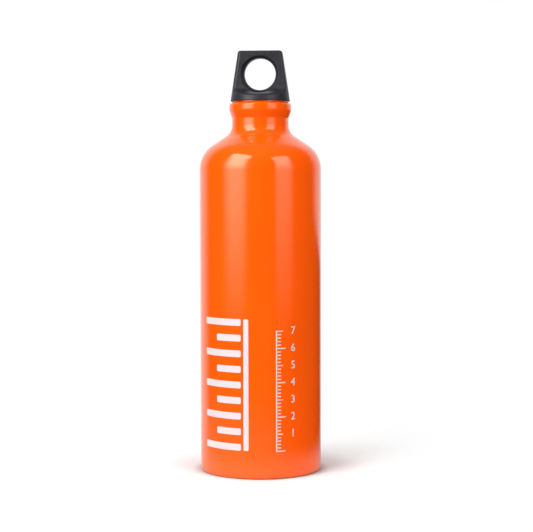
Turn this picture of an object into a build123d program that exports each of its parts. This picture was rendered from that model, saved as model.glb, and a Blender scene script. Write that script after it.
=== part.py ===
from build123d import *

import math
import os

# Camping fuel bottle with a screw stopper. Millimetres.
# The axis is Z, the bottle stands on z = 0, and the loop of the stopper faces -Y.

# Barrel and base
body_radius = 36.25
wall = 0.85
base_corner_radius = 1.2
base_thickness = 1.8
base_inner_corner_radius = 2.4
standing_ring_width = 4.5
dome_rise = 3.6

# Shoulder and neck
shoulder_corner_height = 189.25
shoulder_slope = 33.7
shoulder_radius = 17.1
neck_radius = 16.87
neck_length = 8.35
neck_wall = 1.0
neck_root_radius = 7.9

# Bead round the neck, and how far each stage of it climbs
bead_rise = 1.62
bead_flank_height = 4.4
bead_band_height = 3.85
bead_crown_height = 1.15
bead_foot_radius = 2.0
bead_low_radius = 4.9
bead_high_radius = 1.5

# Rolled lip above the bead
lip_height = 1.3
lip_thickness = 1.45
lip_bore_clearance = 0.3
lip_edge_radius = 0.45

# Screw thread, the same pitch and depth on the ring and on the plug
pitch = 3.0
thread_depth = 1.2
thread_root_share = 0.5
flank_angle = 20.0
thread_clearance = 0.25
flank_clearance = 0.3
thread_bite = 0.2
thread_lead = 1.5

# Thread ring, crimped into the bead
ring_wall = 1.22
ring_tail = 2.8
ring_edge_radius = 0.45
crimp_clearance = 0.05

# Stopper plug, a threaded cup that hangs from the handle's underside
plug_length = 17.8
plug_tip = 1.0
plug_edge_radius = 0.8
plug_wall = 3.1
plug_floor = 2.0
shank_length = 3.5
shank_clearance = 0.6
shank_fillet = 0.5
thread_relief = 0.7
vent_width = 3.2
vent_bite = 0.3

# Seal between the lip and the handle
seal_thickness = 1.5
seal_bore_clearance = 0.3
seal_edge_radius = 0.35

# Stopper handle: skirt, sloping top and loop
handle_height = 30.0
skirt_gap = 0.5
skirt_wall = 1.0
skirt_clearance = 0.4
skirt_band = 3.5
skirt_taper = 8.6
skirt_edge_radius = 0.35
top_slope = 14.0
loop_top_half_thickness = 4.6
loop_draft = 3.2
loop_root_radius = 4.5
loop_edge_radius = 1.9
loop_crown_share = 0.75

# Hole of the loop
hole_drop = 13.9
hole_radius = 9.4
hole_land = 4.4
hole_flare = 2.1
hole_flare_angle = 41.0
hole_flare_radius = 2.0
hole_mouth_radius = 1.0

# Spigot that joins the handle to the plug
spigot_length = 11.2
spigot_wall = 2.4
spigot_clearance = 0.15
spigot_core_roof = 1.35
snap_drop = 8.8
snap_width = 1.6
snap_depth = 0.5
snap_slope = 0.4
key_count = 4
key_width = 2.8
key_depth = 2.9
key_reach = 2.0

# A cut runs this far past what it cuts
overrun = 2.0

# Heights of the neck, from the shoulder up
shoulder_climb = (body_radius - neck_radius) * math.tan(math.radians(shoulder_slope))
neck_root_height = shoulder_corner_height + shoulder_climb
bead_foot_height = neck_root_height + neck_length
bead_low_height = bead_foot_height + bead_flank_height
bead_high_height = bead_low_height + bead_band_height
lip_foot_height = bead_high_height + bead_crown_height
lip_top_height = lip_foot_height + lip_height

# Heights of the stopper, from the lip up and down
roof_height = lip_top_height + seal_thickness
skirt_bottom_height = lip_foot_height + skirt_gap
stopper_top_height = skirt_bottom_height + handle_height
hole_height = stopper_top_height - hole_drop
plug_bottom_height = roof_height - plug_length
shank_bottom_height = roof_height - shank_length

# Radii of the neck and stopper, from the neck's bore inwards
groove_radius = neck_radius - neck_wall - crimp_clearance - ring_wall
plug_crest_radius = groove_radius - thread_clearance
plug_root_radius = plug_crest_radius - thread_depth
plug_bore_radius = plug_root_radius - plug_wall
lip_bore_radius = groove_radius + lip_bore_clearance
lip_radius = lip_bore_radius + lip_thickness
shank_radius = lip_bore_radius - shank_clearance
skirt_bore_radius = lip_radius + skirt_clearance
skirt_radius = skirt_bore_radius + skirt_wall
bead_radius = neck_radius + bead_rise

# Outer outline of the neck, from the barrel's foot up to the lip's foot
neck_corners = [
    (body_radius, base_corner_radius),
    (body_radius, shoulder_corner_height),
    (neck_radius, neck_root_height),
    (neck_radius, bead_foot_height),
    (bead_radius, bead_low_height),
    (bead_radius, bead_high_height),
    (lip_radius, lip_foot_height),
]


def inset_corners(corners, inset):
    """Corners of an outline moved to its left by the inset, each along its mitre."""
    moved = []
    last = len(corners) - 1
    for index, corner in enumerate(corners):
        here = Vector(*corner)
        before = here - Vector(*corners[max(index - 1, 0)])
        after = Vector(*corners[min(index + 1, last)]) - here
        before = after if index == 0 else before
        after = before if index == last else after
        normal_before = Vector(-before.Y, before.X).normalized()
        normal_after = Vector(-after.Y, after.X).normalized()
        mitre = normal_before + normal_after
        moved_corner = here + mitre * (inset / mitre.dot(normal_before))
        moved.append((moved_corner.X, moved_corner.Y))
    return moved


def turned_solid(corners, radii):
    """Solid of revolution round Z from a closed outline of (radius, height) corners."""
    outline = FilletPolyline(*corners, radius=radii, close=True)
    half_section = Plane.XZ * make_face(outline.edges())
    return revolve(half_section, Axis.Z)


def disc(radius, bottom, top):
    """Plain round slug on the axis."""
    return Pos(0, 0, bottom) * Cylinder(radius, top - bottom, align=(Align.CENTER, Align.CENTER, Align.MIN))


def arm(start, reach, width, bottom, top):
    """Block that points along +X from a start radius to its reach."""
    size = Box(reach - start, width, top - bottom, align=(Align.MIN, Align.CENTER, Align.MIN))
    return Pos(start, 0, bottom) * size


def around(count, shape):
    """Copies of a shape spread evenly round the axis."""
    return [Rot(0, 0, 360 * index / count) * shape for index in range(count)]


def dome(extra):
    """Ball whose top pushes the base up, grown by an extra thickness."""
    mouth_radius = body_radius - base_corner_radius - standing_ring_width
    ball_radius = (mouth_radius**2 + dome_rise**2) / (2 * dome_rise)
    return Pos(0, 0, dome_rise - ball_radius) * Sphere(ball_radius + extra)


def shell_outside():
    """Bottle's outer form as one solid."""
    corners = [(0, 0), (body_radius, 0)] + neck_corners[1:] + [(lip_radius, lip_top_height), (0, lip_top_height)]
    radii = [0, base_corner_radius, shoulder_radius, neck_root_radius]
    radii += [bead_foot_radius, bead_low_radius, bead_high_radius, 0, lip_edge_radius, 0]
    return turned_solid(corners, radii)


def shell_inside():
    """Space inside the bottle, with the seat of the thread ring in the bead."""
    barrel = inset_corners(neck_corners[:3], wall)
    neck = inset_corners(neck_corners[2:], neck_wall)
    mouth_height = lip_top_height + overrun
    corners = [(0, base_thickness), (body_radius - wall, base_thickness), barrel[1]]
    corners += [(neck_radius - neck_wall, barrel[2][1])] + neck[1:4]
    corners += [(lip_bore_radius, neck[4][1]), (lip_bore_radius, mouth_height), (0, mouth_height)]
    radii = [0, base_inner_corner_radius, shoulder_radius - wall, neck_root_radius + neck_wall]
    radii += [bead_foot_radius + neck_wall, bead_low_radius - neck_wall, 0, 0, 0, 0]
    return turned_solid(corners, radii) - dome(base_thickness)


def bottle_shell():
    """Thin bottle in one piece: domed base, barrel, shoulder, neck, bead and rolled lip."""
    shell = shell_outside() - shell_inside() - dome(0)
    mouth_edges = shell.edges().filter_by(GeomType.CIRCLE).group_by(Axis.Z)[-1]
    return fillet(mouth_edges.sort_by(SortBy.RADIUS)[0], lip_edge_radius)


def plug_ridge_width(radius):
    """Width of the plug's thread ridge at a radius."""
    root_width = pitch * thread_root_share
    return root_width - 2 * (radius - plug_root_radius) * math.tan(math.radians(flank_angle))


def thread_ridge(root_radius, root_width, outward, bottom, top):
    """Right-hand helical ridge on a root radius. Outward is 1 on a plug and -1 in a bore."""
    spread = math.tan(math.radians(flank_angle))
    half_base = root_width / 2 + thread_bite * spread
    half_crest = root_width / 2 - thread_depth * spread
    base_radius = root_radius - outward * thread_bite
    crest_radius = root_radius + outward * thread_depth
    corners = [
        (base_radius, -half_base),
        (crest_radius, -half_crest),
        (crest_radius, half_crest),
        (base_radius, half_base),
    ]
    profile = Plane.XZ * make_face(Polyline(*corners, close=True).edges())
    path = Helix(pitch, top - bottom, root_radius)
    return Pos(0, 0, bottom) * sweep(profile, path=path, is_frenet=True)


def plug_thread():
    """Ridge of the plug, which fades into its core over the lead at both ends."""
    bottom = plug_bottom_height + plug_tip
    top = shank_bottom_height - thread_relief
    ridge = thread_ridge(plug_root_radius, pitch * thread_root_share, 1, bottom, top)
    outer = plug_crest_radius + thread_clearance
    corners = [
        (0, bottom),
        (plug_root_radius, bottom),
        (outer, bottom + thread_lead),
        (outer, top - thread_lead),
        (plug_root_radius, top),
        (0, top),
    ]
    return ridge & turned_solid(corners, [0] * len(corners))


def neck_thread_ring():
    """Female thread, trapped between the neck and the lip by its collar in the bead."""
    seat = inset_corners(neck_corners[2:], neck_wall + crimp_clearance)
    bottom = bead_foot_height - ring_tail
    top = seat[3][1]
    corners = [(groove_radius, bottom), (seat[0][0], bottom)] + seat[1:4] + [(groove_radius, top)]
    radii = [ring_edge_radius, 0, bead_foot_radius + neck_wall, bead_low_radius - neck_wall, ring_edge_radius, 0]
    ring = turned_solid(corners, radii)

    crest_radius = groove_radius - thread_depth
    crest_width = pitch - plug_ridge_width(crest_radius) - 2 * flank_clearance
    root_width = crest_width + 2 * thread_depth * math.tan(math.radians(flank_angle))
    margin = root_width / 2 + thread_bite
    ridge_bottom = bottom + margin + ring_edge_radius
    turns_from_plug = (ridge_bottom - plug_bottom_height - plug_tip) / pitch + 1 / 2
    ridge = thread_ridge(groove_radius, root_width, -1, ridge_bottom, top - margin)
    return ring + Rot(0, 0, 360 * (turns_from_plug % 1)) * ridge


def snap_band(radius, shrink):
    """Raised band round a radius: the spigot's snap bead, or its groove in the plug with no shrink."""
    half_width = snap_width / 2 - shrink
    foot = half_width + snap_slope
    corners = [
        (radius - snap_depth, snap_height() - foot),
        (radius, snap_height() - foot),
        (radius + snap_depth, snap_height() - half_width),
        (radius + snap_depth, snap_height() + half_width),
        (radius, snap_height() + foot),
        (radius - snap_depth, snap_height() + foot),
    ]
    return turned_solid(corners, [0] * len(corners))


def snap_height():
    """Height of the middle of the snap band."""
    return roof_height - snap_drop


def stopper_plug():
    """Closed threaded cup with a vent slot down its flights, a snap groove and key notches."""
    corners = [
        (0, plug_bottom_height),
        (plug_root_radius, plug_bottom_height),
        (plug_root_radius, shank_bottom_height),
        (shank_radius, shank_bottom_height),
        (shank_radius, roof_height),
        (0, roof_height),
    ]
    plug = turned_solid(corners, [0, plug_edge_radius, 0, shank_fillet, 0, 0]) + plug_thread()
    vent_start = plug_root_radius - vent_bite
    plug -= arm(vent_start, groove_radius, vent_width, plug_bottom_height - overrun, shank_bottom_height)
    plug -= disc(plug_bore_radius, plug_bottom_height + plug_floor, roof_height + overrun)
    plug -= snap_band(plug_bore_radius, 0)
    notch_width = key_width + 2 * spigot_clearance
    notch_reach = plug_bore_radius + key_reach
    notch = arm(0, notch_reach, notch_width, roof_height - key_depth, roof_height + overrun)
    return plug - around(key_count, notch)


def seal_ring():
    """Flat gasket with rounded edges between the lip and the handle."""
    bore_radius = shank_radius + seal_bore_clearance
    corners = [(bore_radius, lip_top_height), (lip_radius, lip_top_height)]
    corners += [(lip_radius, roof_height), (bore_radius, roof_height)]
    return turned_solid(corners, [seal_edge_radius] * len(corners))


def handle_cone():
    """Round blank that the whole handle is cut from."""
    top_radius = skirt_radius - handle_height * math.tan(math.radians(skirt_taper))
    corners = [
        (0, skirt_bottom_height),
        (skirt_radius, skirt_bottom_height),
        (top_radius, stopper_top_height),
        (0, stopper_top_height),
    ]
    return turned_solid(corners, [0, skirt_edge_radius, 0, 0])


def handle_side():
    """Side outline of the handle run through along X: skirt, sloping top, root curve and loop."""
    reach = skirt_radius + overrun
    slope = math.tan(math.radians(top_slope))
    draft = math.tan(math.radians(loop_draft))
    shelf_radius = skirt_radius - skirt_band * math.tan(math.radians(skirt_taper))
    shelf_height = skirt_bottom_height + skirt_band
    loop_foot = loop_top_half_thickness + stopper_top_height * draft
    root_height = (shelf_height + (shelf_radius - loop_foot) * slope) / (1 - slope * draft)
    right = [
        (reach, skirt_bottom_height - overrun),
        (reach, shelf_height - (reach - shelf_radius) * slope),
        (loop_foot - root_height * draft, root_height),
        (loop_top_half_thickness, stopper_top_height),
    ]
    left = [(-across, up) for across, up in reversed(right)]
    radii = [0, 0, loop_root_radius, 0, 0, loop_root_radius, 0, 0]
    outline = FilletPolyline(*(right + left), radius=radii, close=True)
    side = Plane.YZ * make_face(outline.edges())
    return extrude(side, amount=reach, both=True)


def handle_blank():
    """Cone and side outline in common. The curved edges between them are rounded first, then the crown."""
    blank = handle_cone() & handle_side()
    curved_edges = [edge for edge in blank.edges() if edge.geom_type not in (GeomType.LINE, GeomType.CIRCLE)]
    blank = fillet(curved_edges, loop_edge_radius)
    crown_edges = blank.edges().group_by(Axis.Z)[-1]
    return fillet(crown_edges, loop_edge_radius * loop_crown_share)


def loop_hole():
    """Round hole along Y with a short straight land and flared mouths."""
    reach = skirt_radius + overrun
    mouth_radius = hole_radius + hole_flare
    flare_angle = math.radians(hole_flare_angle)
    flare_start = hole_land / 2 + hole_flare_radius * math.tan(flare_angle / 2)
    flare_end = flare_start + hole_flare / math.tan(flare_angle)
    right = [(hole_radius, flare_start), (mouth_radius, flare_end), (mouth_radius, reach), (0, reach)]
    left = [(across, -along) for across, along in reversed(right)]
    radii = [hole_flare_radius, hole_mouth_radius, 0, 0]
    outline = FilletPolyline(*(left + right), radius=radii[::-1] + radii, close=True)
    half_section = make_face(outline.edges())
    return Pos(0, 0, hole_height) * revolve(half_section, Axis.Y)


def spigot():
    """Round post under the handle with a snap bead, and keys that turn the plug."""
    radius = plug_bore_radius - spigot_clearance
    post = disc(radius, roof_height - spigot_length, roof_height + overrun) + snap_band(radius, spigot_clearance)
    key_bottom = roof_height - key_depth + spigot_clearance
    key = arm(0, radius + key_reach, key_width, key_bottom, roof_height + overrun)
    return post + around(key_count, key)


def stopper_handle():
    """Moulded handle: blank with the recess for the seal, the spigot, the loop's hole and the spigot's core."""
    handle = handle_blank() - disc(skirt_bore_radius, skirt_bottom_height - overrun, roof_height)
    handle += spigot()
    core_radius = plug_bore_radius - spigot_clearance - spigot_wall
    core_top = hole_height - hole_radius - hole_flare - spigot_core_roof
    handle -= disc(core_radius, plug_bottom_height, core_top)
    return handle - loop_hole()


def save(name, shape):
    """One STEP file, with its file name as the name of the sub-part."""
    shape.label = name
    export_step(shape, f"parts/{name}.step")
    print(name, "solids", len(shape.solids()), "volume", round(shape.volume))


def main():
    os.makedirs("parts", exist_ok=True)
    for sub_part in (bottle_shell, neck_thread_ring, stopper_plug, seal_ring, stopper_handle):
        save(sub_part.__name__, sub_part())


if __name__ == "__main__":
    main()
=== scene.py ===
import math

import bmesh
import bpy
from mathutils import Matrix, Vector


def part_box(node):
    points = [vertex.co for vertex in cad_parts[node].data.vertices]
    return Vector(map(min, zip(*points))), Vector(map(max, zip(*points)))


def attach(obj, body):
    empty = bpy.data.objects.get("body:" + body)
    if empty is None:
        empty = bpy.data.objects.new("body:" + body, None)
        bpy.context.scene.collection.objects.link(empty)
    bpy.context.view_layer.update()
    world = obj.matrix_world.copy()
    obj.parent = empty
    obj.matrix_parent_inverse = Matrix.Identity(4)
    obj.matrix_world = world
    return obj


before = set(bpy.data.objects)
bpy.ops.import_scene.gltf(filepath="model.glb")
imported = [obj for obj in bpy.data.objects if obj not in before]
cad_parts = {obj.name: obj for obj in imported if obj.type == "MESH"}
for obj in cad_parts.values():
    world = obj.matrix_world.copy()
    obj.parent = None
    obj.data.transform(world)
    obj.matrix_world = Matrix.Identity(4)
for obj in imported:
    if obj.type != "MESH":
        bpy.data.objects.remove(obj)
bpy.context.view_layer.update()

print("frame loaded:", ", ".join(sorted(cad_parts)))

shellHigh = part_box("bottle_shell")[1]
barrelRadius = shellHigh.x


# Small helpers for node trees

def feed(tree, node, socket, value):
    target = node.inputs[socket]
    if isinstance(value, bpy.types.NodeSocket):
        tree.links.new(value, target)
    else:
        target.default_value = value


def put(tree, kind, inputs=None, **settings):
    node = tree.nodes.new(kind)
    for name, value in settings.items():
        setattr(node, name, value)
    for socket, value in (inputs or {}).items():
        feed(tree, node, socket, value)
    return node


def calc(tree, operation, *values, clamp=False):
    node = put(tree, "ShaderNodeMath", operation=operation, use_clamp=clamp)
    for index, value in enumerate(values):
        feed(tree, node, index, value)
    return node.outputs[0]


def times(tree, first, second):
    return calc(tree, "MULTIPLY", first, second)


def ramp(tree, value, low, high, toLow=0.0, toHigh=1.0, smooth=True):
    kind = "SMOOTHSTEP" if smooth else "LINEAR"
    node = put(tree, "ShaderNodeMapRange", interpolation_type=kind)
    for index, entry in enumerate((value, low, high, toLow, toHigh)):
        feed(tree, node, index, entry)
    return node.outputs[0]


def split(tree, vector):
    return put(tree, "ShaderNodeSeparateXYZ", {"Vector": vector}).outputs


def dot(tree, first, second):
    node = put(tree, "ShaderNodeVectorMath", {0: first, 1: second}, operation="DOT_PRODUCT")
    return node.outputs["Value"]


def stretched(tree, vector, factors):
    node = put(tree, "ShaderNodeVectorMath", {0: vector, 1: factors}, operation="MULTIPLY")
    return node.outputs[0]


def blendColours(tree, mask, first, second):
    return put(tree, "ShaderNodeMix", {0: mask, 6: first, 7: second}, data_type="RGBA").outputs[2]


def blendValues(tree, mask, first, second):
    return put(tree, "ShaderNodeMix", {0: mask, 2: first, 3: second}, data_type="FLOAT").outputs[0]


def noise(tree, vector, scale, detail=2.0, roughness=0.5):
    values = {"Vector": vector, "Scale": scale, "Detail": detail, "Roughness": roughness}
    return put(tree, "ShaderNodeTexNoise", values).outputs["Fac"]


def patches(tree, vector, scale, low, high, strength=1.0, detail=3.0, roughness=0.5):
    return ramp(tree, noise(tree, vector, scale, detail, roughness), low, high, 0.0, strength)


def newGroup(name, values, results):
    tree = bpy.data.node_groups.new(name, "ShaderNodeTree")
    tree.interface.new_socket("Vector", in_out="INPUT", socket_type="NodeSocketVector")
    for label, value in values.items():
        socket = tree.interface.new_socket(label, in_out="INPUT", socket_type="NodeSocketFloat")
        socket.default_value = value
    for label in results:
        tree.interface.new_socket(label, in_out="OUTPUT", socket_type="NodeSocketFloat")
    return tree, tree.nodes.new("NodeGroupInput").outputs, tree.nodes.new("NodeGroupOutput")


def useGroup(tree, group, place, values):
    return put(tree, "ShaderNodeGroup", {"Vector": place, **values}, node_tree=group).outputs


# Shared effects: each group puts out only masks and heights

peelShape = {"fineScale": 3.1, "fineShare": 0.3}


def makeOrangePeel():
    shape = peelShape
    tree, given, out = newGroup("orangePeel", {"Cell": 0.0018}, ("Height",))
    scale = calc(tree, "DIVIDE", 1.0, given["Cell"])
    coarse = noise(tree, given["Vector"], scale, detail=1.0)
    fine = noise(tree, given["Vector"], times(tree, scale, shape["fineScale"]), detail=1.0)
    feed(tree, out, "Height", calc(tree, "MULTIPLY_ADD", fine, shape["fineShare"], coarse))
    return tree


def makeSpecks():
    tree, given, out = newGroup("specks", {"Cell": 0.003, "Share": 0.15, "Size": 0.05}, ("Mask",))
    scale = calc(tree, "DIVIDE", 1.0, given["Cell"])
    cells = put(tree, "ShaderNodeTexVoronoi", {"Vector": given["Vector"], "Scale": scale}).outputs
    dots = ramp(tree, cells["Distance"], given["Size"], 0.0)
    chance = put(tree, "ShaderNodeSeparateColor", {0: cells["Color"]}).outputs[0]
    chosen = calc(tree, "LESS_THAN", chance, given["Share"])
    feed(tree, out, "Mask", times(tree, dots, chosen))
    return tree


# Two stretched noises, of which only the thin contour lines are used
hairlineShape = {
    "warpScale": 45.0,
    "warpReach": 0.012,
    "upright": (1.0, 1.0, 0.06),
    "level": (0.35, 0.35, 1.0),
    "width": 0.006,
    "patches": {"scale": 38.0, "low": 0.5, "high": 0.66, "detail": 2.0},
}


def makeHairlines():
    shape = hairlineShape
    tree, given, out = newGroup("hairlines", {"Spacing": 0.004, "Amount": 0.5}, ("Mask",))
    scale = calc(tree, "DIVIDE", 1.0, given["Spacing"])
    warp = put(tree, "ShaderNodeTexNoise",
               {"Vector": given["Vector"], "Scale": shape["warpScale"], "Detail": 1.0})
    swirl = put(tree, "ShaderNodeVectorMath",
                {0: warp.outputs["Color"], 1: (shape["warpReach"],) * 3, 2: given["Vector"]},
                operation="MULTIPLY_ADD").outputs[0]
    lines = []
    for factors in (shape["upright"], shape["level"]):
        field = noise(tree, stretched(tree, swirl, factors), scale, detail=1.0)
        middle = calc(tree, "ABSOLUTE", calc(tree, "SUBTRACT", field, 0.5))
        lines.append(ramp(tree, middle, shape["width"], 0.0))
    lines = calc(tree, "MAXIMUM", *lines)
    lines = times(tree, lines, patches(tree, given["Vector"], **shape["patches"]))
    feed(tree, out, "Mask", times(tree, lines, given["Amount"]))
    return tree


# An edge shows where the rounded normal leaves the plain one
edgeShape = {"samples": 4, "flat": 0.995, "sharp": 0.93, "rubbedFrom": 0.4, "rubbedTo": 0.62}


def makeEdgeWear():
    shape = edgeShape
    tree, given, out = newGroup(
        "edgeWear", {"Reach": 0.0006, "Amount": 0.5, "Cell": 0.003}, ("Mask",))
    rounded = put(tree, "ShaderNodeBevel", {"Radius": given["Reach"]}, samples=shape["samples"])
    plain = put(tree, "ShaderNodeNewGeometry").outputs["Normal"]
    edge = ramp(tree, dot(tree, rounded.outputs[0], plain), shape["flat"], shape["sharp"])
    scale = calc(tree, "DIVIDE", 1.0, given["Cell"])
    rubbed = patches(tree, given["Vector"], scale, shape["rubbedFrom"], shape["rubbedTo"])
    feed(tree, out, "Mask", times(tree, times(tree, edge, rubbed), given["Amount"]))
    return tree


grainShape = {
    "smoothness": 0.6,
    "softScale": 0.45,
    "softShare": 0.8,
    "cloudScale": 0.035,
    "cloudFrom": 0.35,
    "cloudTo": 0.65,
}


def makeMouldedGrain():
    shape = grainShape
    tree, given, out = newGroup("mouldedGrain", {"Cell": 0.0004}, ("Height", "Mask"))
    scale = calc(tree, "DIVIDE", 1.0, given["Cell"])
    cells = put(tree, "ShaderNodeTexVoronoi",
                {"Vector": given["Vector"], "Scale": scale, "Smoothness": shape["smoothness"]},
                feature="SMOOTH_F1").outputs["Distance"]
    softScale = times(tree, scale, shape["softScale"])
    soft = noise(tree, given["Vector"], softScale, detail=3.0)
    feed(tree, out, "Height", calc(tree, "MULTIPLY_ADD", soft, shape["softShare"], cells))
    cloudScale = times(tree, scale, shape["cloudScale"])
    clouds = patches(tree, given["Vector"], cloudScale, shape["cloudFrom"], shape["cloudTo"])
    feed(tree, out, "Mask", clouds)
    return tree


# Noise of the distance from the axis and of the height alone, which makes rings
turnedShape = {"detail": 3.0, "roughness": 0.6, "low": 0.3, "high": 0.7}


def makeTurnedLines():
    shape = turnedShape
    tree, given, out = newGroup("turnedLines", {"Pitch": 0.0002}, ("Height", "Mask"))
    spot = split(tree, given["Vector"])
    squares = [times(tree, spot[axis], spot[axis]) for axis in (0, 1)]
    across = calc(tree, "SQRT", calc(tree, "ADD", *squares))
    flat = put(tree, "ShaderNodeCombineXYZ", {"X": across, "Y": spot[2]}).outputs[0]
    scale = calc(tree, "DIVIDE", 1.0, given["Pitch"])
    lines = noise(tree, flat, scale, shape["detail"], shape["roughness"])
    feed(tree, out, "Height", lines)
    feed(tree, out, "Mask", ramp(tree, lines, shape["low"], shape["high"]))
    return tree


orangePeel = makeOrangePeel()
specks = makeSpecks()
hairlines = makeHairlines()
edgeWear = makeEdgeWear()
mouldedGrain = makeMouldedGrain()
turnedLines = makeTurnedLines()
print("shared effects made")


# Materials

def newMaterial(name):
    material = bpy.data.materials.new(name)
    material.use_nodes = True
    tree = material.node_tree
    tree.nodes.clear()
    shader = tree.nodes.new("ShaderNodeBsdfPrincipled")
    out = tree.nodes.new("ShaderNodeOutputMaterial")
    tree.links.new(shader.outputs[0], out.inputs["Surface"])
    place = tree.nodes.new("ShaderNodeTexCoord").outputs["Object"]
    return material, tree, shader, place


def addBump(tree, shader, height, distance):
    bump = put(tree, "ShaderNodeBump", {"Height": height, "Distance": distance, "Strength": 1.0})
    tree.links.new(bump.outputs[0], shader.inputs["Normal"])
    return bump


# Where the enamel is missing: heights, and how far the surface faces in, up or down
bareShape = {
    "inward": -0.05,
    "domeDown": -0.05,
    "domeTop": 0.0038,
    "floorUp": 0.4,
    "floorTop": 0.02,
    "lipUp": 0.7,
    "lipFace": 0.0003,
    "ringDown": -0.5,
    "ringHeight": 0.0008,
    "wide": {"scale": 130.0, "low": 0.42, "high": 0.62, "roughness": 0.6},
    "fine": {"scale": 1900.0, "low": 0.38, "high": 0.56, "roughness": 0.6},
    "edges": {"Reach": 0.0005, "Amount": 0.5, "Cell": 0.004},
    "edgeShare": 0.2,
}


def addBareMask(tree, place):
    shape = bareShape
    height = split(tree, place)[2]
    facing = put(tree, "ShaderNodeNewGeometry").outputs["Normal"]
    up = split(tree, facing)[2]
    outward = stretched(tree, place, (1.0, 1.0, 0.0))
    outward = put(tree, "ShaderNodeVectorMath", {0: outward}, operation="NORMALIZE").outputs[0]
    # The inside and the lip's top stay bare, but the dome's underside is painted
    inner = calc(tree, "LESS_THAN", dot(tree, outward, facing), shape["inward"])
    dome = times(tree, calc(tree, "LESS_THAN", height, shape["domeTop"]),
                 calc(tree, "LESS_THAN", up, shape["domeDown"]))
    inner = calc(tree, "SUBTRACT", inner, times(tree, inner, dome), clamp=True)
    floor = times(tree, calc(tree, "GREATER_THAN", up, shape["floorUp"]),
                  calc(tree, "LESS_THAN", height, shape["floorTop"]))
    lip = times(tree, calc(tree, "GREATER_THAN", up, shape["lipUp"]),
                calc(tree, "GREATER_THAN", height, shellHigh.z - shape["lipFace"]))
    bare = calc(tree, "MAXIMUM", calc(tree, "MAXIMUM", inner, floor), lip)
    # Rubbed through where the bottle stands, in broken patches
    ring = times(tree, ramp(tree, height, shape["ringHeight"], 0.0),
                 calc(tree, "LESS_THAN", up, shape["ringDown"]))
    rubbed = times(tree, patches(tree, place, **shape["wide"]), patches(tree, place, **shape["fine"]))
    bare = calc(tree, "MAXIMUM", times(tree, ring, rubbed), bare)
    edges = useGroup(tree, edgeWear, place, shape["edges"])["Mask"]
    return calc(tree, "MAXIMUM", bare, times(tree, edges, shape["edgeShare"]))


enamelLooks = {
    "colour": (0.875, 0.091, 0.0013, 1.0),
    "shade": (0.835, 0.076, 0.0010, 1.0),
    "clouds": {"scale": 26.0, "low": 0.3, "high": 0.7, "strength": 0.35},
    "tint": (1.0, 0.90, 0.62, 1.0),
    "ior": 1.5,
    "roughness": 0.10,
    "coat": 0.35,
    "coatRoughness": 0.03,
    "peel": {"Cell": 0.0022},
    "peelHeight": 0.0000022,
    "specks": {"Cell": 0.0045, "Share": 0.12, "Size": 0.045},
    "speckColour": (0.45, 0.05, 0.006, 1.0),
    "speckShare": 0.45,
    "speckHeight": 1.5,
    "scratches": {"Spacing": 0.02, "Amount": 0.12},
    "smearStretch": (1.0, 1.0, 0.3),
    "smears": {"scale": 60.0, "low": 0.35, "high": 0.75, "strength": 0.05, "detail": 4.0},
    "metal": (0.70, 0.70, 0.71, 1.0),
    "metalLine": (0.5, 0.5, 0.52, 1.0),
    "metalRoughness": 0.38,
    "lines": {"Pitch": 0.0004},
    "lineShare": 0.4,
    "lineHeight": 2.0,
}


def makeEnamel():
    looks = enamelLooks
    material, tree, shader, place = newMaterial("orangeEnamel")
    bare = addBareMask(tree, place)
    clouds = patches(tree, place, **looks["clouds"])
    paint = blendColours(tree, clouds, looks["colour"], looks["shade"])
    dots = useGroup(tree, specks, place, looks["specks"])["Mask"]
    paint = blendColours(tree, times(tree, dots, looks["speckShare"]), paint, looks["speckColour"])
    lines = useGroup(tree, turnedLines, place, looks["lines"])
    metal = times(tree, lines["Mask"], looks["lineShare"])
    metal = blendColours(tree, metal, looks["metal"], looks["metalLine"])
    feed(tree, shader, "Base Color", blendColours(tree, bare, paint, metal))
    feed(tree, shader, "Metallic", bare)
    scratches = useGroup(tree, hairlines, place, looks["scratches"])["Mask"]
    smears = patches(tree, stretched(tree, place, looks["smearStretch"]), **looks["smears"])
    rough = calc(tree, "ADD", calc(tree, "ADD", looks["roughness"], scratches), smears)
    feed(tree, shader, "Roughness", blendValues(tree, bare, rough, looks["metalRoughness"]))
    feed(tree, shader, "Coat Weight", blendValues(tree, bare, looks["coat"], 0.0))
    shader.inputs["Coat Roughness"].default_value = looks["coatRoughness"]
    shader.inputs["IOR"].default_value = looks["ior"]
    shader.inputs["Specular Tint"].default_value = looks["tint"]
    peel = useGroup(tree, orangePeel, place, looks["peel"])["Height"]
    height = blendValues(tree, bare, peel, times(tree, lines["Height"], looks["lineHeight"]))
    height = calc(tree, "MULTIPLY_ADD", dots, looks["speckHeight"], height)
    bump = addBump(tree, shader, height, looks["peelHeight"])
    tree.links.new(bump.outputs[0], shader.inputs["Coat Normal"])
    return material


aluminiumLooks = {
    "colour": (0.80, 0.80, 0.81, 1.0),
    "stain": (0.55, 0.55, 0.57, 1.0),
    "stains": {"scale": 300.0, "low": 0.4, "high": 0.75, "strength": 0.6,
               "detail": 4.0, "roughness": 0.6},
    "rubbed": (0.9, 0.9, 0.9, 1.0),
    "edges": {"Reach": 0.0003, "Amount": 0.9, "Cell": 0.001},
    "roughness": 0.26,
    "lines": {"Pitch": 0.00022},
    "lineRoughness": 0.12,
    "lineHeight": 0.000004,
}


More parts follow.
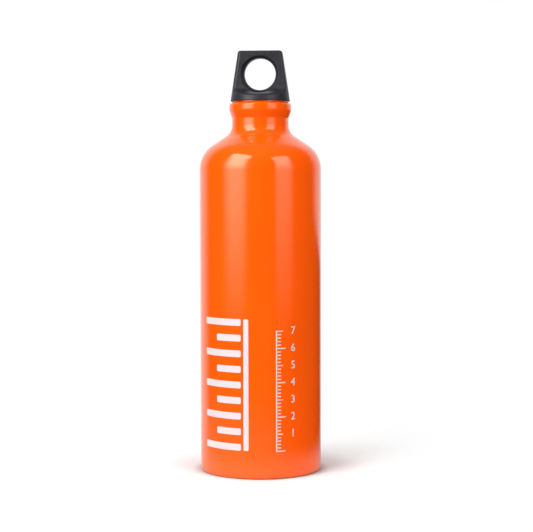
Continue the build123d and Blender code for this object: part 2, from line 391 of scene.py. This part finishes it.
def makeAluminium():
    looks = aluminiumLooks
    material, tree, shader, place = newMaterial("turnedAluminium")
    lines = useGroup(tree, turnedLines, place, looks["lines"])
    edges = useGroup(tree, edgeWear, place, looks["edges"])["Mask"]
    stains = patches(tree, place, **looks["stains"])
    colour = blendColours(tree, stains, looks["colour"], looks["stain"])
    feed(tree, shader, "Base Color", blendColours(tree, edges, colour, looks["rubbed"]))
    shader.inputs["Metallic"].default_value = 1.0
    rough = calc(tree, "MULTIPLY_ADD", lines["Mask"], looks["lineRoughness"], looks["roughness"])
    feed(tree, shader, "Roughness", rough)
    addBump(tree, shader, lines["Height"], looks["lineHeight"])
    return material


rubberLooks = {
    "colour": (0.035, 0.035, 0.036, 1.0),
    "bloom": (0.075, 0.075, 0.072, 1.0),
    "bloomShare": 0.7,
    "bloomRoughness": 0.12,
    "dust": (0.2, 0.19, 0.18, 1.0),
    "dustShare": 0.5,
    "specks": {"Cell": 0.0012, "Share": 0.4, "Size": 0.09},
    "roughness": 0.62,
    "grain": {"Cell": 0.00035},
    "grainHeight": 0.00001,
}


def makeRubber():
    looks = rubberLooks
    material, tree, shader, place = newMaterial("sealRubber")
    grain = useGroup(tree, mouldedGrain, place, looks["grain"])
    bloom = times(tree, grain["Mask"], looks["bloomShare"])
    colour = blendColours(tree, bloom, looks["colour"], looks["bloom"])
    dust = useGroup(tree, specks, place, looks["specks"])["Mask"]
    dust = times(tree, dust, looks["dustShare"])
    feed(tree, shader, "Base Color", blendColours(tree, dust, colour, looks["dust"]))
    rough = calc(tree, "MULTIPLY_ADD", grain["Mask"], looks["bloomRoughness"], looks["roughness"])
    feed(tree, shader, "Roughness", rough)
    addBump(tree, shader, grain["Height"], looks["grainHeight"])
    return material


# What both mouldings share
mouldingShape = {
    "specks": {"Cell": 0.0022, "Share": 0.3, "Size": 0.06},
    "dustShare": 0.5,
    "scuffs": {"Spacing": 0.006, "Amount": 0.16},
    "shadeRoughness": 0.07,
    "rubbedSmoothness": 0.1,
    "seamTop": 0.3,
}

handleLooks = {
    "colour": (0.0114, 0.0106, 0.0148, 1.0),
    "shade": (0.0162, 0.0151, 0.0203, 1.0),
    "rubbed": (0.060, 0.060, 0.066, 1.0),
    "dust": (0.06, 0.06, 0.06, 1.0),
    "roughness": 0.40,
    "ior": 1.40,
    "grain": {"Cell": 0.00045},
    "grainHeight": 0.000012,
    "seamWidth": 0.00022,
    "seamHeight": 0.00004,
    "edges": {"Reach": 0.0007, "Amount": 0.45, "Cell": 0.0016},
}

plugLooks = {
    "colour": (0.085, 0.087, 0.092, 1.0),
    "shade": (0.11, 0.112, 0.118, 1.0),
    "rubbed": (0.21, 0.21, 0.22, 1.0),
    "dust": (0.22, 0.22, 0.21, 1.0),
    "roughness": 0.36,
    "ior": 1.5,
    "grain": {"Cell": 0.0003},
    "grainHeight": 0.000005,
    "seamWidth": 0.00015,
    "seamHeight": 0.00002,
    "edges": {"Reach": 0.0003, "Amount": 0.7, "Cell": 0.0016},
}


def makeMoulding(name, looks):
    shape = mouldingShape
    material, tree, shader, place = newMaterial(name)
    grain = useGroup(tree, mouldedGrain, place, looks["grain"])
    edges = useGroup(tree, edgeWear, place, looks["edges"])["Mask"]
    dust = useGroup(tree, specks, place, shape["specks"])["Mask"]
    dust = times(tree, dust, shape["dustShare"])
    colour = blendColours(tree, grain["Mask"], looks["colour"], looks["shade"])
    colour = blendColours(tree, edges, colour, looks["rubbed"])
    feed(tree, shader, "Base Color", blendColours(tree, dust, colour, looks["dust"]))
    scuffs = useGroup(tree, hairlines, place, shape["scuffs"])["Mask"]
    rough = calc(tree, "MULTIPLY_ADD", grain["Mask"], shape["shadeRoughness"], looks["roughness"])
    rough = calc(tree, "SUBTRACT", rough, times(tree, edges, shape["rubbedSmoothness"]))
    feed(tree, shader, "Roughness", calc(tree, "ADD", rough, scuffs))
    shader.inputs["IOR"].default_value = looks["ior"]
    # The mould parts in the plane through the axis, and leaves a fine ridge there
    across = calc(tree, "ABSOLUTE", split(tree, place)[1])
    seam = ramp(tree, across, looks["seamWidth"], looks["seamWidth"] * shape["seamTop"])
    seamShare = looks["seamHeight"] / looks["grainHeight"]
    height = calc(tree, "MULTIPLY_ADD", seam, seamShare, grain["Height"])
    addBump(tree, shader, height, looks["grainHeight"])
    return material


inkLooks = {
    "colour": (0.614, 0.547, 0.558, 1.0),
    "thin": (0.66, 0.40, 0.33, 1.0),
    "roughness": 0.32,
    "meshScale": 2600.0,
    "meshRoughness": 0.12,
    "height": 0.000004,
    "worn": {"scale": 500.0, "low": 0.62, "high": 0.74, "strength": 0.5,
             "detail": 5.0, "roughness": 0.7},
    "pinholes": {"Cell": 0.0016, "Share": 0.18, "Size": 0.09},
    "pinholeShare": 0.7,
}


def makeInk():
    looks = inkLooks
    material, tree, shader, place = newMaterial("whiteInk")
    mesh = noise(tree, place, looks["meshScale"])
    worn = patches(tree, place, **looks["worn"])
    pinholes = useGroup(tree, specks, place, looks["pinholes"])["Mask"]
    thin = calc(tree, "MAXIMUM", worn, times(tree, pinholes, looks["pinholeShare"]))
    feed(tree, shader, "Base Color", blendColours(tree, thin, looks["colour"], looks["thin"]))
    rough = calc(tree, "MULTIPLY_ADD", mesh, looks["meshRoughness"], looks["roughness"])
    feed(tree, shader, "Roughness", rough)
    addBump(tree, shader, calc(tree, "SUBTRACT", mesh, pinholes), looks["height"])
    return material


def dressNode(name, material):
    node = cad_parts[name]
    if len(node.data.materials) == 0:
        node.data.materials.append(material)
    for place in node.material_slots:
        place.material = material


whiteInk = makeInk()
dressNode("bottle_shell", makeEnamel())
dressNode("neck_thread_ring", makeAluminium())
dressNode("seal_ring", makeRubber())
dressNode("stopper_plug", makeMoulding("greyNylon", plugLooks))
dressNode("stopper_handle", makeMoulding("blackNylon", handleLooks))
print("materials made")


# Printed marks: flat outlines, with x along the arc and y up the barrel, which are
# cut into strips and wrapped round it

inkShape = {
    "proud": 0.00006,
    "sunk": 0.00003,
    "strip": 0.0012,
    "cornerSteps": 5,
    "numberSteps": 6,
    "merge": 0.000004,
    "cut": 0.000002,
}


def arcAt(degrees):
    return math.radians(degrees) * barrelRadius


def roundedBar(bm, left, right, low, high, radius):
    steps = inkShape["cornerSteps"]
    corners = ((right - radius, low + radius, -90), (right - radius, high - radius, 0),
               (left + radius, high - radius, 90), (left + radius, low + radius, 180))
    ring = []
    for x, y, start in corners:
        for step in range(steps + 1):
            angle = math.radians(start + 90.0 * step / steps)
            spot = (x + radius * math.cos(angle), y + radius * math.sin(angle), 0.0)
            ring.append(bm.verts.new(spot))
    bm.faces.new(ring)


def addNumber(bm, text, x, y, size):
    curve = bpy.data.curves.new("number" + text, "FONT")
    curve.body = text
    curve.size = size
    curve.align_x = "CENTER"
    curve.align_y = "CENTER"
    curve.resolution_u = inkShape["numberSteps"]
    source = bpy.data.objects.new("number" + text, curve)
    flat = bpy.data.meshes.new_from_object(source)
    flat.transform(Matrix.Translation((x, y, 0.0)))
    bm.from_mesh(flat)
    bpy.data.objects.remove(source)
    bpy.data.curves.remove(curve)
    bpy.data.meshes.remove(flat)


def wrapRound(bm, name, body, material):
    bmesh.ops.remove_doubles(bm, verts=bm.verts[:], dist=inkShape["merge"])
    low = min(v.co.x for v in bm.verts)
    high = max(v.co.x for v in bm.verts)
    strip = inkShape["strip"]
    for index in range(math.ceil(low / strip), math.floor(high / strip) + 1):
        everything = bm.verts[:] + bm.edges[:] + bm.faces[:]
        bmesh.ops.bisect_plane(bm, geom=everything, plane_co=(index * strip, 0.0, 0.0),
                               plane_no=(1.0, 0.0, 0.0), dist=inkShape["cut"])
    bmesh.ops.recalc_face_normals(bm, faces=bm.faces[:])
    for face in bm.faces:
        if face.normal.z < 0.0:
            face.normal_flip()
    thick = inkShape["proud"] + inkShape["sunk"]
    raised = bmesh.ops.extrude_face_region(bm, geom=bm.faces[:])["geom"]
    raised = [item for item in raised if isinstance(item, bmesh.types.BMVert)]
    bmesh.ops.translate(bm, vec=(0.0, 0.0, thick), verts=raised)
    bmesh.ops.recalc_face_normals(bm, faces=bm.faces[:])
    for vert in bm.verts:
        angle = vert.co.x / barrelRadius
        radius = barrelRadius - inkShape["sunk"] + vert.co.z
        vert.co = Vector((radius * math.sin(angle), -radius * math.cos(angle), vert.co.y))
    mesh = bpy.data.meshes.new(name)
    bm.to_mesh(mesh)
    bm.free()
    mesh.materials.append(material)
    piece = bpy.data.objects.new(name, mesh)
    bpy.context.scene.collection.objects.link(piece)
    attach(piece, body)


ladder = {
    "railRight": -6.5,
    "railWidth": 0.0030,
    "bottom": 0.0167,
    "rungs": 9,
    "spacing": 0.0091,
    "rungHeight": 0.0039,
    "longRung": 0.0270,
    "shortRung": 0.0165,
    "gap": 0.0016,
    "corner": 0.0008,
}


def makeLadder():
    bm = bmesh.new()
    right = arcAt(ladder["railRight"])
    left = right - ladder["railWidth"]
    top = ladder["bottom"] + ladder["spacing"] * (ladder["rungs"] - 1) + ladder["rungHeight"]
    roundedBar(bm, left, right, ladder["bottom"], top, ladder["corner"])
    end = left - ladder["gap"]
    for index in range(ladder["rungs"]):
        low = ladder["bottom"] + index * ladder["spacing"]
        reach = ladder["shortRung"] if index % 2 else ladder["longRung"]
        roundedBar(bm, end - reach, end, low, low + ladder["rungHeight"], ladder["corner"])
    wrapRound(bm, "printed_ladder", "bottle", whiteInk)


# Steps of 2 mm, with a number at each centimetre
ruler = {
    "line": 19.0,
    "lineWidth": 0.0007,
    "lineGap": 0.0003,
    "bottom": 0.0164,
    "step": 0.0020,
    "steps": 35,
    "numberEvery": 5,
    "longEvery": 10,
    "tick": 0.0006,
    "short": 0.0020,
    "middle": 0.0032,
    "long": 0.0048,
    "numberSize": 0.0064,
    "numberGap": 0.0050,
    "corner": 0.0002,
}


def makeRuler():
    bm = bmesh.new()
    left = arcAt(ruler["line"])
    right = left + ruler["lineWidth"]
    half = ruler["tick"] / 2
    top = ruler["bottom"] + ruler["step"] * ruler["steps"]
    roundedBar(bm, left, right, ruler["bottom"] - half, top + half, ruler["corner"])
    start = right + ruler["lineGap"]
    for index in range(ruler["steps"] + 1):
        middle = ruler["bottom"] + index * ruler["step"]
        numbered = index % ruler["numberEvery"] == 0
        reach = ruler["short"]
        if numbered:
            reach = ruler["middle"] if index % ruler["longEvery"] else ruler["long"]
        roundedBar(bm, start, start + reach, middle - half, middle + half, ruler["corner"])
        if numbered and index > 0:
            text = str(index // ruler["numberEvery"])
            spot = start + ruler["long"] + ruler["numberGap"]
            addNumber(bm, text, spot, middle, ruler["numberSize"])
    wrapRound(bm, "printed_ruler", "bottle", whiteInk)


makeLadder()
makeRuler()
print("printed marks made")


# Camera at the photograph's place

cameraPlace = {
    "azimuth": 5.0,
    "distance": 0.86,
    "height": 0.172,
    "pitchDown": 3.315,
    "yawRight": 0.235,
    "roll": -0.11,
    "lens": 96.89,
    "sensor": 36.0,
}


def placeCamera():
    place = cameraPlace
    data = bpy.data.cameras.new("studioCamera")
    data.lens = place["lens"]
    data.sensor_width = place["sensor"]
    camera = bpy.data.objects.new("studioCamera", data)
    bpy.context.scene.collection.objects.link(camera)
    turn = math.radians(place["azimuth"])
    spot = (place["distance"] * math.sin(turn), -place["distance"] * math.cos(turn), place["height"])
    look = Matrix.Rotation(turn - math.radians(place["yawRight"]), 4, "Z")
    look = look @ Matrix.Rotation(math.radians(90.0 - place["pitchDown"]), 4, "X")
    look = look @ Matrix.Rotation(math.radians(place["roll"]), 4, "Z")
    camera.matrix_world = Matrix.Translation(spot) @ look
    bpy.context.scene.camera = camera


# Studio: two tall soft boxes in front, a white wall behind, a pale floor

boxes = (
    {"name": "leftBox", "azimuth": -49.0, "distance": 0.85, "width": 0.93, "top": 1.36,
     "radiance": 7.3, "inner": 1.0, "topFade": 0.06, "innerFade": 0.33, "outerFade": 0.42},
    {"name": "rightBox", "azimuth": 46.0, "distance": 0.85, "width": 0.68, "top": 1.07,
     "radiance": 4.0, "inner": 0.0, "topFade": 0.06, "innerFade": 0.20, "outerFade": 0.42},
)
boxShape = {"bottom": 0.0, "fadeTo": 0.46, "outerTop": 0.15, "sharpFrom": 0.45, "sharpTo": 0.95}


def addBox(box):
    shape = boxShape
    height = box["top"] - shape["bottom"]
    data = bpy.data.lights.new(box["name"], "AREA")
    data.shape = "RECTANGLE"
    data.size = box["width"]
    data.size_y = height
    data.energy = 1.0
    data.use_nodes = True
    tree = data.node_tree
    glow = next(node for node in tree.nodes if node.type == "EMISSION")
    place = split(tree, put(tree, "ShaderNodeNewGeometry").outputs["Parametric"])
    fromInner = calc(tree, "ABSOLUTE", calc(tree, "SUBTRACT", place[0], box["inner"]))
    # Towards the top both upright edges turn sharp
    sharpFrom, sharpTo = shape["sharpFrom"], shape["sharpTo"]
    innerFade = ramp(tree, place[1], sharpFrom, sharpTo, box["innerFade"], box["topFade"])
    outerFade = ramp(tree, place[1], sharpFrom, sharpTo,
                     1.0 - box["outerFade"], 1.0 - shape["outerTop"])
    sides = times(tree, ramp(tree, fromInner, 0.0, innerFade), ramp(tree, fromInner, 1.0, outerFade))
    rise = ramp(tree, place[1], 0.0, shape["fadeTo"] / height, smooth=False)
    power = box["radiance"] * math.pi * box["width"] * height
    feed(tree, glow, "Strength", times(tree, times(tree, sides, rise), power))
    light = bpy.data.objects.new(box["name"], data)
    bpy.context.scene.collection.objects.link(light)
    turn = math.radians(cameraPlace["azimuth"] + box["azimuth"])
    spot = (box["distance"] * math.sin(turn), -box["distance"] * math.cos(turn),
            shape["bottom"] + height / 2)
    light.matrix_world = (Matrix.Translation(spot) @ Matrix.Rotation(turn, 4, "Z")
                          @ Matrix.Rotation(math.radians(90.0), 4, "X"))
    light.visible_camera = False


worldLight = {
    "ambient": 0.565,
    "front": 0.01,
    "rear": 0.95,
    "rearFrom": 0.33,
    "rearTo": 0.70,
    "lowRearFrom": 0.84,
    "lowRearTo": 0.99,
    "lowFrom": -0.015,
    "lowTo": -0.06,
    "lowEnd": -0.19,
    "lowGone": -0.48,
    "ceiling": 0.13,
    "ceilingRear": 0.30,
    "ceilingFrom": 0.60,
    "ceilingTo": 0.95,
    "ceilingTurn": 0.12,
    "ceilingBack": 0.36,
}


def makeWorld():
    looks = worldLight
    world = bpy.data.worlds.new("studio")
    world.use_nodes = True
    tree = world.node_tree
    tree.nodes.clear()
    path = put(tree, "ShaderNodeLightPath").outputs
    toward = put(tree, "ShaderNodeTexCoord").outputs["Generated"]
    direction = split(tree, toward)
    side, up = direction[0], direction[2]
    turn = math.radians(cameraPlace["azimuth"])
    away = dot(tree, toward, (-math.sin(turn), math.cos(turn), 0.0))
    # On the right the wall starts further back below eye level
    band = times(tree, ramp(tree, up, looks["lowFrom"], looks["lowTo"]),
                 ramp(tree, up, looks["lowGone"], looks["lowEnd"]))
    low = times(tree, calc(tree, "GREATER_THAN", side, 0.0), band)
    rearFrom = blendValues(tree, low, looks["rearFrom"], looks["lowRearFrom"])
    rearTo = blendValues(tree, low, looks["rearTo"], looks["lowRearTo"])
    behind = times(tree, ramp(tree, away, rearFrom, rearTo), looks["rear"])
    ceiling = ramp(tree, away, looks["ceilingTurn"], looks["ceilingBack"],
                   looks["ceiling"], looks["ceilingRear"])
    above = ramp(tree, up, looks["ceilingFrom"], looks["ceilingTo"], looks["front"], ceiling)
    glossy = calc(tree, "MAXIMUM", behind, above)
    level = blendValues(tree, path["Is Glossy Ray"], looks["ambient"], glossy)
    seen = calc(tree, "MAXIMUM", path["Is Camera Ray"], path["Is Transmission Ray"])
    level = blendValues(tree, seen, level, 1.0)
    back = put(tree, "ShaderNodeBackground", {"Color": (1.0, 1.0, 1.0, 1.0), "Strength": level})
    put(tree, "ShaderNodeOutputWorld", {"Surface": back.outputs[0]})
    bpy.context.scene.world = world


# The floor is a round patch that thins out, so that it shows no horizon
floorLooks = {
    "reach": 0.42,
    "albedo": 0.80,
    "cloudScale": 9.0,
    "cloudFrom": 0.3,
    "cloudTo": 0.7,
    "cloudLift": 0.02,
    "roughness": 0.9,
    "lift": 0.22,
    "liftFrom": 0.035,
    "liftTo": 0.075,
    # The next three set a painted contact shadow: the floor's colour is darkened close to the bottle
    "paintedShadowReach": 0.006,
    "paintedShadowDepth": 0.25,
    "paintedShadowSamples": 8,
    "nearShare": 0.66,
    "nearFrom": 0.13,
    "nearTo": 0.045,
    "farFrom": 0.37,
    "farTo": 0.12,
    "rightFrom": 0.13,
    "rightTo": 0.05,
    "openUnder": 0.0325,
}


def makeFloor():
    looks = floorLooks
    reach = looks["reach"]
    mesh = bpy.data.meshes.new("floor")
    corners = ((-reach, -reach), (reach, -reach), (reach, reach), (-reach, reach))
    mesh.from_pydata([(x, y, 0.0) for x, y in corners], [], [(0, 1, 2, 3)])
    floor = bpy.data.objects.new("floor", mesh)
    bpy.context.scene.collection.objects.link(floor)
    material, tree, shader, place = newMaterial("paleFloor")
    shade = ramp(tree, noise(tree, place, looks["cloudScale"]), looks["cloudFrom"], looks["cloudTo"],
                 looks["albedo"], looks["albedo"] + looks["cloudLift"])
    # Painted shadow: an occlusion node darkens the floor's colour near the bottle, a contact shadow
    # painted into the albedo
    paintedContactShadow = put(tree, "ShaderNodeAmbientOcclusion", {"Distance": looks["paintedShadowReach"]},
                  samples=looks["paintedShadowSamples"]).outputs["AO"]
    paintedContactShadow = ramp(tree, paintedContactShadow, 0.0, 1.0, looks["paintedShadowDepth"], 1.0, smooth=False)
    shade = times(tree, shade, paintedContactShadow)
    grey = put(tree, "ShaderNodeCombineColor", {0: shade, 1: shade, 2: shade}).outputs[0]
    feed(tree, shader, "Base Color", grey)
    shader.inputs["Roughness"].default_value = looks["roughness"]
    shader.inputs["Specular IOR Level"].default_value = 0.0
    shader.inputs["Emission Color"].default_value = (1.0, 1.0, 1.0, 1.0)
    away = put(tree, "ShaderNodeVectorMath", {0: place}, operation="LENGTH").outputs["Value"]
    lift = ramp(tree, away, looks["liftFrom"], looks["liftTo"], 0.0, looks["lift"])
    path = put(tree, "ShaderNodeLightPath").outputs
    feed(tree, shader, "Emission Strength", times(tree, path["Is Camera Ray"], lift))
    near = times(tree, ramp(tree, away, looks["nearFrom"], looks["nearTo"]), looks["nearShare"])
    far = times(tree, ramp(tree, away, looks["farFrom"], looks["farTo"]), 1.0 - looks["nearShare"])
    far = times(tree, far, ramp(tree, split(tree, place)[0], looks["rightFrom"], looks["rightTo"]))
    below = put(tree, "ShaderNodeNewGeometry").outputs["Backfacing"]
    solid = times(tree, calc(tree, "ADD", near, far), calc(tree, "SUBTRACT", 1.0, below))
    # Open inside the standing ring, so that light from below reaches the dome
    solid = times(tree, solid, calc(tree, "GREATER_THAN", away, looks["openUnder"]))
    clear = put(tree, "ShaderNodeBsdfTransparent").outputs[0]
    mixed = put(tree, "ShaderNodeMixShader", {0: solid, 1: clear, 2: shader.outputs[0]})
    out = next(node for node in tree.nodes if node.type == "OUTPUT_MATERIAL")
    tree.links.new(mixed.outputs[0], out.inputs["Surface"])
    mesh.materials.append(material)


placeCamera()
for box in boxes:
    addBox(box)
makeWorld()
makeFloor()
bpy.context.scene.view_settings.view_transform = "Standard"
print("studio set")
